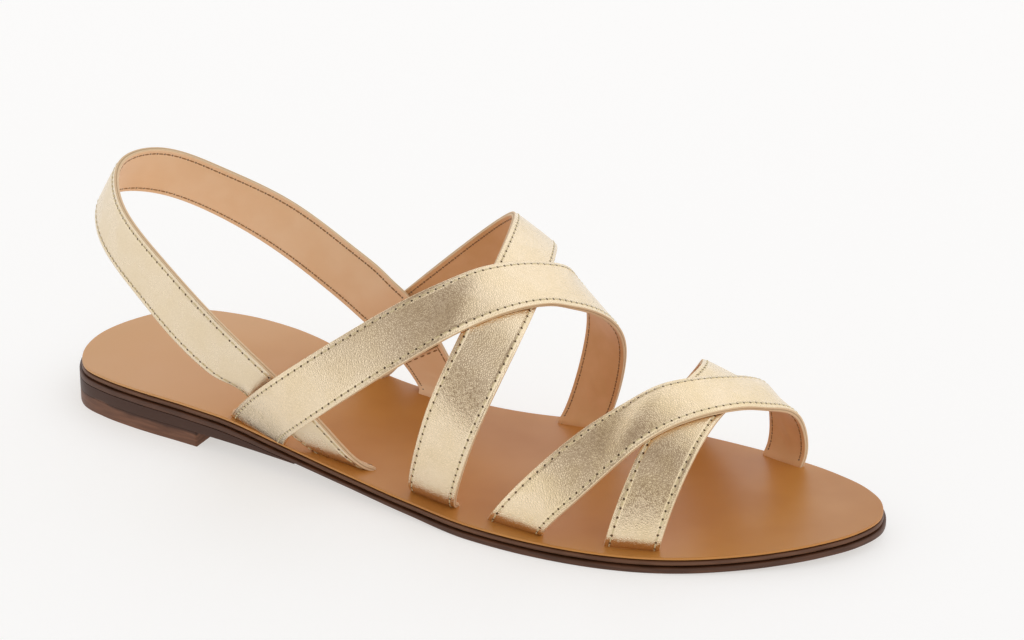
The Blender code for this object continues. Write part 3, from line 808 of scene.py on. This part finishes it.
def make_stitching(name, band, material, side, cross_rows=(), wall=STRAP, folds=()):
    """Sew one face of a strap: a short rounded thread between each two needle holes."""
    width = band["width"]
    first, last = band["mouths"]
    places = []
    for number in range(math.ceil(first / STITCH_PITCH), math.floor(last / STITCH_PITCH)):
        for edge in (-1, 1):
            places.append((number * STITCH_PITCH, edge * (width / 2 - STITCH_INSET), 0.0))
    for along in cross_rows:
        count = round((width - 2 * STITCH_INSET) / STITCH_PITCH)
        for number in range(count):
            across = ((number + 0.5) / count - 0.5) * (width - 2 * STITCH_INSET)
            places.append((along, across, math.pi / 2))
    threads = bmesh.new()
    lay_down = Matrix.Rotation(math.pi / 2, 4, "Y")
    for along, across, turn in places:
        place = Matrix.Translation((along, across, 0)) @ Matrix.Rotation(turn, 4, "Z") @ lay_down
        size = Matrix.Diagonal((THREAD_HEIGHT / 2, THREAD_WIDTH / 2, THREAD_LENGTH / 2, 1))
        bmesh.ops.create_uvsphere(threads, u_segments=THREAD_SIDES, v_segments=THREAD_RINGS, radius=1,
                                  matrix=place @ size)
    points = coordinates(threads)
    seat = points.copy()
    seat[:, 2] = side
    seat = shape_strip(seat, band, wall, folds)
    seat[:, 2] += points[:, 2]
    for vert, place in zip(threads.verts, bend_on(band, seat)):
        vert.co = place
    return finish_piece(name, threads, [material])


# %% [markdown]
# ## The crossed straps
#
# Over the instep and over the toes two straps cross. All four are cut and sewn the same way, so
# one builder makes them. On the inner side, where a strap bends down into its slot, the soft
# lining gathers in a few slanting creases. Each crease is a row in a table: where it lies on
# the flat strap, its angle, its length and breadth, and how high it stands.

# %% Make the crossed straps
def creases(band, rows):
    """Place creases by their distance from the strap's inner mouth, in millimetres."""
    return [(band["mouths"][1] - away * MM, across * MM, angle, length * MM, breadth * MM, depth * MM)
            for away, across, angle, length, breadth, depth in rows]


INSTEP_CREASES = (
    (9, -2.0, 38, 6.0, 0.9, 0.28),
    (12, 0.5, 34, 6.5, 1.1, -0.30),
    (15, 2.5, 30, 6.0, 1.0, 0.24),
    (6, 3.5, 22, 4.0, 0.9, 0.22),
)
TOE_CREASES = (
    (6, -1.5, 35, 4.0, 0.8, 0.20),
    (8.5, 1.0, 32, 4.5, 0.9, -0.22),
)
for name, node, slot, band, metal, rows in (
    ("instep_strap_over", "instep_straps", "gold_foil_leather", instep_over, foil, INSTEP_CREASES),
    ("instep_strap_under", "instep_straps", "gold_foil_leather", instep_under, foil, TOE_CREASES),
    ("toe_strap_over", "toe_straps", "toe_foil_leather", toe_over, toe_foil, TOE_CREASES),
    ("toe_strap_under", "toe_straps", "toe_foil_leather", toe_under, toe_foil, ()),
):
    folds = creases(band, rows)
    strap = make_strap(name, band, (metal, cut_edge, shaded_lining), folds=folds)
    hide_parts(node)
    make_stitching(name + "_stitching", band, gold_thread, 1, folds=folds)
    make_stitching(name + "_inner_stitching", band, tan_thread, -1, folds=folds)

# %% [markdown]
# ## The sling and its elastic
#
# The sling runs round the heel and ends on the inner side in a short elastic, so that the foot
# can slip in. The elastic is a woven band with fine ribs along its length, sewn between the
# layers of both strap ends. Its ribs are real relief here: each is one long, narrow crease.

# %% Make the sling, the elastic and the tab
RIB = 1.2 * MM
RIBS = 12
RIB_BREADTH, RIB_RISE = 0.3 * MM, 0.15 * MM


def make_elastic_finish():
    """Woven elastic: matte bronze yarn over rubber, with a rib every 1.2 mm."""
    material, shader = new_finish("woven_elastic_yarn", roughness=0.62, metallic=0.3, sheen_weight=0.3)
    flat = add_node(material, "UVMap", {"uv_map": "strip"}, {})
    yarn = add_node(material, "TexWave", {"bands_direction": "X"},
                    {"Vector": flat, "Scale": 1 / (3 * RIB), "Distortion": 0.6, "Detail": 1.0}, "Fac")
    bump = add_node(material, "Bump", {}, {"Strength": 0.4, "Distance": 0.1 * MM, "Height": yarn})
    colour = add_node(material, "Mix", BLEND, {0: yarn, 6: linear("#7A5C2C"), 7: linear("#96753E")}, 2)
    feed(material, shader, base_color=colour, normal=bump)
    return material


sling, elastic_band, tab_band = (sling_bands[key] for key in ("sling_strap", "elastic", "sling_tab"))
SEAM = 2.2 * MM
sling_strap = make_strap("sling_leather", sling, (sling_foil, cut_edge, lining))
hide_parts("sling_strap")
make_stitching("sling_stitching", sling, gold_thread, 1, cross_rows=(sling["run"][-1] - SEAM,))
make_stitching("sling_inner_stitching", sling, tan_thread, -1, cross_rows=(sling["run"][-1] - SEAM,))

ELASTIC_WALL = 1.0 * MM
ribs = [(elastic_band["run"][-1] / 2, (number - (RIBS - 1) / 2) * RIB, 0, 1.0, RIB_BREADTH, RIB_RISE)
        for number in range(RIBS)]
elastic = make_strap("woven_elastic", elastic_band, (make_elastic_finish(),) * 3, wall=ELASTIC_WALL,
                     folds=ribs)
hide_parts("elastic")

TAB_CREASES = ((3.0, -1.0, 70, 5.0, 0.8, 0.25), (6.0, 2.0, 60, 4.0, 0.8, -0.2))
tab_folds = creases(tab_band, TAB_CREASES)
tab = make_strap("sling_tab_leather", tab_band, (tab_foil, cut_edge, lining), folds=tab_folds)
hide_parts("sling_tab")
make_stitching("tab_stitching", tab_band, gold_thread, 1, cross_rows=(SEAM,), folds=tab_folds)
make_stitching("tab_inner_stitching", tab_band, tan_thread, -1, cross_rows=(SEAM,), folds=tab_folds)

# %% [markdown]
# ## Leather for the sole
#
# The footbed is vegetable-tanned leather, polished to a soft gloss: warm tan, smooth, with a
# faint cloudiness from the tanning. The edges of the layers under it are dyed dark brown and
# burnished with wax, which leaves a low sheen and a slightly streaky tone.

# %% Sole finishes
TAN_CLOUD = 35 * MM
TAN_PORE = 0.35 * MM
# The footbed is paler towards the heel: a painted reflection of the bright room on the glossy leather,
# full up to the first value and gone by the second.
HEEL_REFLECTION_END, TAN_START = -10 * MM, 80 * MM
STREAK = 9 * MM
STREAK_FLATNESS = 12
EDGE_FIBRE = 0.8 * MM


def make_footbed_leather():
    """Polished vegetable-tanned leather: tan, cloudy, with very fine pores, and paler at the heel as a
    painted reflection.
    """
    material, shader = new_finish("polished_tan_leather", roughness=0.42, ior=1.5, coat_weight=0.05,
                                  coat_roughness=0.25)
    place = add_node(material, "TexCoord", {}, {}, "Object")
    cloud = add_node(material, "TexNoise", {}, {"Vector": place, "Scale": 1 / TAN_CLOUD, "Detail": 3.0})
    pores = add_node(material, "TexNoise", {}, {"Vector": place, "Scale": 1 / TAN_PORE, "Detail": 2.0})
    bump = add_node(material, "Bump", {}, {"Strength": 0.12, "Distance": 0.05 * MM, "Height": pores})
    clouds = add_node(material, "MapRange", SMOOTH, (cloud, 0.3, 0.7))
    tan = add_node(material, "Mix", BLEND, {0: clouds, 6: linear("#BE7E38"), 7: linear("#CA8B42")}, 2)
    along = add_node(material, "SeparateXYZ", {}, (place,), "X")
    # Paler towards the heel: painted reflection.
    past_heel_reflection = add_node(material, "MapRange", SMOOTH, (along, HEEL_REFLECTION_END, TAN_START))
    colour = add_node(material, "Mix", BLEND, {0: past_heel_reflection, 6: linear("#D49E63"), 7: tan}, 2)
    rough = add_node(material, "MapRange", SMOOTH, (cloud, 0.3, 0.7, 0.44, 0.36))
    feed(material, shader, base_color=colour, roughness=rough, normal=bump)
    return material


def make_edge_leather(name, light, deep, roughness):
    """Burnished leather edge: dyed, waxed and streaked along the layer."""
    material, shader = new_finish(name, roughness=roughness, ior=1.45)
    place = add_node(material, "TexCoord", {}, {}, "Object")
    streaks = add_node(material, "Mapping", {}, {"Vector": place, "Scale": (1, 1, STREAK_FLATNESS)})
    tone = add_node(material, "TexNoise", {}, {"Vector": streaks, "Scale": 1 / STREAK, "Detail": 4.0})
    tone = add_node(material, "MapRange", SMOOTH, (tone, 0.3, 0.7))
    fibre = add_node(material, "TexNoise", {}, {"Vector": place, "Scale": 1 / EDGE_FIBRE, "Detail": 3.0})
    bump = add_node(material, "Bump", {}, {"Strength": 0.25, "Distance": 0.08 * MM, "Height": fibre})
    colour = add_node(material, "Mix", BLEND, {0: tone, 6: linear(deep), 7: linear(light)}, 2)
    feed(material, shader, base_color=colour, normal=bump)
    return material


footbed_leather = make_footbed_leather()
midsole_leather = make_edge_leather("burnished_midsole_edge", "#704A32", "#5A3823", 0.46)
outsole_leather = make_edge_leather("burnished_outsole_edge", "#5B3722", "#452714", 0.46)

DYE_BLEED = 14 * MM
DYE_WAVE = 4 * MM
DYE_LINE, DYE_FULL = LIFT_HEIGHT + 1.0 * MM, LIFT_HEIGHT + 2.0 * MM


def make_heel_leather():
    """Stacked heel leather: dyed dark from above, and left reddish brown where the dye ends."""
    material = make_edge_leather("dyed_heel_stack", "#7A5038", "#633D28", 0.5)
    shader = material.node_tree.nodes["Principled BSDF"]
    bare = shader.inputs["Base Color"].links[0].from_socket
    place = add_node(material, "TexCoord", {}, {}, "Object")
    bleed = add_node(material, "TexNoise", {}, {"Vector": place, "Scale": 1 / DYE_BLEED, "Detail": 4.0})
    line = add_node(material, "SeparateXYZ", {}, (place,), "Z")
    line = add_node(material, "Math", {"operation": "MULTIPLY_ADD"}, (bleed, DYE_WAVE, line))
    dyed = add_node(material, "MapRange", SMOOTH, (line, DYE_LINE, DYE_FULL))
    colour = add_node(material, "Mix", BLEND, {0: dyed, 6: bare, 7: linear("#40200B")}, 2)
    feed(material, shader, base_color=colour)
    return material


heel_leather = make_heel_leather()
print("sole finishes: 4")

# %% [markdown]
# ## The layers of the sole
#
# Each layer is cut from sheet leather along one pattern. So each starts as the outline's loop of
# points filled with one face, which is extruded to the layer's thickness. The rims are bevelled
# like a trimmed edge, and an inset keeps the flat faces flat in shading. Then planes cut the
# slab into narrow bands, so that it can be bent to the arch and toe spring.

# %% Layer builder
BANDS = 120
FLAT_INSET = 0.25 * MM


def trimmed_loop(offset, end):
    """Return the outline as points, cut off straight at an end if one is given."""
    loop, _ = outline(offset)
    if end is None:
        return loop
    inside = loop[:, 0] <= end
    first = int(np.argmax(~inside))
    last = len(loop) - int(np.argmax(~inside[::-1]))
    corners = []
    for near, far in ((loop[first - 1], loop[first]), (loop[last % len(loop)], loop[last - 1])):
        share = (end - near[0]) / (far[0] - near[0])
        corners.append(near + (far - near) * share)
    return np.vstack([loop[:first], corners, loop[last:]])


def make_layer(name, offset, thickness, low, high, material, end, rim):
    """Cut one layer along the outline, trim its rims and bend it between two height curves."""
    slab = bmesh.new()
    loop = [slab.verts.new((x, y, 0)) for x, y in trimmed_loop(offset, end)]
    face = slab.faces.new(loop)
    raised = bmesh.ops.extrude_face_region(slab, geom=[face])["geom"]
    top = [v for v in raised if isinstance(v, bmesh.types.BMVert)]
    bmesh.ops.translate(slab, vec=(0, 0, thickness), verts=top)
    bmesh.ops.recalc_face_normals(slab, faces=slab.faces)
    rims = [edge for edge in slab.edges if abs(edge.verts[0].co.z - edge.verts[1].co.z) < 1e-9]
    bmesh.ops.bevel(slab, geom=rims, offset=rim, segments=3, profile=0.5, affect="EDGES", material=-1)
    flats = [face for face in slab.faces if abs(face.normal.z) > 0.999]
    bmesh.ops.inset_region(slab, faces=flats, thickness=FLAT_INSET, use_even_offset=True)
    for x in np.linspace(along_to_x(0), along_to_x(1), BANDS)[1:-1]:
        bmesh.ops.bisect_plane(slab, geom=slab.verts[:] + slab.edges[:] + slab.faces[:], dist=1e-7,
                               plane_co=(x, 0, 0), plane_no=(1, 0, 0))
    for vert in slab.verts:
        share = vert.co.z / thickness
        x = np.array([vert.co.x])
        vert.co.z = float((low(x) * (1 - share) + high(x) * share)[0])
    return finish_piece(name, slab, [material])


def flat(height):
    """Return a height curve that is the same everywhere."""
    return lambda x: np.full_like(x, height)


def above(height):
    """Return a height curve that follows the bend of the full layers."""
    return lambda x: under_layers(x) + height


# %% Make the layers
FOOTBED_SETBACK = 0.2 * MM
HAIRLINE = 0.03 * MM
STACK_RIM = 0.10 * MM
LAYER_RIM = 0.35 * MM
near, far = LIFT_LENGTH / 2, along_to_x(FOREFOOT_START)
while far - near > 1e-6:
    x = (near + far) / 2
    room = under_outsole(x) - 2 * HAIRLINE - LIFT_HEIGHT
    near, far = (x, far) if room > WEDGE_FEATHER else (near, x)
seat = OUTSOLE + GAP
for node, offset, thickness, low, high, leather, end in (
    ("heel_lift", OUTSOLE_RIM, LIFT_HEIGHT, flat(0.0), flat(LIFT_HEIGHT), heel_leather,
     LIFT_LENGTH / 2),
    ("heel_wedge", OUTSOLE_RIM, HEEL_RISE - LIFT_HEIGHT, flat(LIFT_HEIGHT + HAIRLINE),
     lambda x: under_outsole(x) - HAIRLINE, heel_leather, near),
    ("outsole", OUTSOLE_RIM, OUTSOLE, under_outsole, above(OUTSOLE), outsole_leather, None),
    ("midsole", 0.0, MIDSOLE, above(seat), above(seat + MIDSOLE), midsole_leather, None),
    ("footbed", -FOOTBED_SETBACK, FOOTBED, above(LAYERS - FOOTBED), above(LAYERS),
     footbed_leather, None),
):
    rim = STACK_RIM if node.startswith("heel") else min(LAYER_RIM, thickness / 3)
    layer = make_layer(node + "_layer", offset, thickness, low, high, leather, end, rim)
    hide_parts(node)

# %% [markdown]
# ## Floor, light and camera
#
# The sandal stands on a seamless white table that is lit from below as well, as product tables
# are, so that shadows stay pale. The foil shows what surrounds it, so the light is laid out by
# what a strap should mirror: white below, white walls all round, and two dark patches on the
# viewer's side, where the ceiling isn't lit and where the camera stands. A world with smooth
# gradients does this without hard edges, and one large soft lamp from behind adds gloss.

# %% Floor
TABLE_GLOW = 0.585
TABLE_SIZE = 6
floor_builder = bmesh.new()
bmesh.ops.create_grid(floor_builder, x_segments=1, y_segments=1, size=TABLE_SIZE)
floor_mesh = bpy.data.meshes.new("floor")
floor_builder.to_mesh(floor_mesh)
floor_builder.free()
floor = bpy.data.objects.new("floor", floor_mesh)
bpy.context.scene.collection.objects.link(floor)
white_table, _ = new_finish("white_table", base_color=linear("#AEB2B8"), roughness=0.7,
                            emission_color=linear("#FFFCF7"), emission_strength=TABLE_GLOW)
floor_mesh.materials.append(white_table)

# %% Light
# Each dark patch: turn from the outer side towards the toe and rise over the floor, then how far
# it is fully dark and where it ends, all in degrees, and the share of light that it takes.
WALLS = 1.11
CEILING_TONE = "#5C3D0A"
DARK_PATCHES = ((-44, 73, 2, 55, 0.76), (3, 18, 6, 34, 0.80))
world = bpy.data.worlds.new("studio")
bpy.context.scene.world = world
world.use_nodes = True
toward = add_node(world, "TexCoord", {}, {}, "Generated")
lit = 1.0
for *angles, depth in DARK_PATCHES:
    turn, rise, inner, outer = map(math.radians, angles)
    level = math.cos(rise)
    middle = Vector((math.sin(turn) * level, -math.cos(turn) * level, math.sin(rise)))
    nearness = add_node(world, "VectorMath", {"operation": "DOT_PRODUCT"}, (toward, middle), "Value")
    patch = add_node(world, "MapRange", SMOOTH,
                     (nearness, math.cos(outer), math.cos(inner), 1.0, 1 - depth))
    lit = add_node(world, "Math", {"operation": "MULTIPLY"}, (patch, lit))
background = world.node_tree.nodes["Background"]
background.inputs["Strength"].default_value = WALLS
room = add_node(world, "Mix", BLEND, {0: lit, 6: linear(CEILING_TONE), 7: linear("#FFFFFF")}, 2)
world.node_tree.links.new(room, background.inputs["Color"])

SOFTBOX_SIZE = (1.6, 0.9)
SOFTBOX_WATTS = 0.3
SOFTBOX_PLACE = Vector((0.35, 1.0, 1.1))
SOFTBOX_TARGET = Vector((0.08, 0, 0))
lamp = bpy.data.lights.new("rear_softbox", "AREA")
lamp.shape = "RECTANGLE"
lamp.size, lamp.size_y = SOFTBOX_SIZE
lamp.energy = SOFTBOX_WATTS
softbox = bpy.data.objects.new("rear_softbox", lamp)
softbox.location = SOFTBOX_PLACE
softbox.rotation_euler = (SOFTBOX_TARGET - SOFTBOX_PLACE).to_track_quat("-Z", "Y").to_euler()
bpy.context.scene.collection.objects.link(softbox)
bpy.context.scene.view_settings.view_transform = "Standard"
print("walls", WALLS, "with", len(DARK_PATCHES), "dark patches")

# %% Camera
VIEW_POINT = Vector((0.46408, -0.71963, 0.38939))
VIEW_DIRECTION = Vector((-0.40379, 0.82460, -0.39623))
VIEW_ROLL = 0.28
FOCAL_LENGTH, SENSOR_WIDTH = 109.55, 36
lens = bpy.data.cameras.new("photo_view")
lens.lens = FOCAL_LENGTH
lens.sensor_width = SENSOR_WIDTH
lens.clip_start = 0.01
camera = bpy.data.objects.new("photo_view", lens)
aim = VIEW_DIRECTION.to_track_quat("-Z", "Y").to_matrix()
aim = aim @ Matrix.Rotation(math.radians(VIEW_ROLL), 3, "Z")
camera.matrix_world = Matrix.Translation(VIEW_POINT) @ aim.to_4x4()
bpy.context.scene.collection.objects.link(camera)
bpy.context.scene.camera = camera
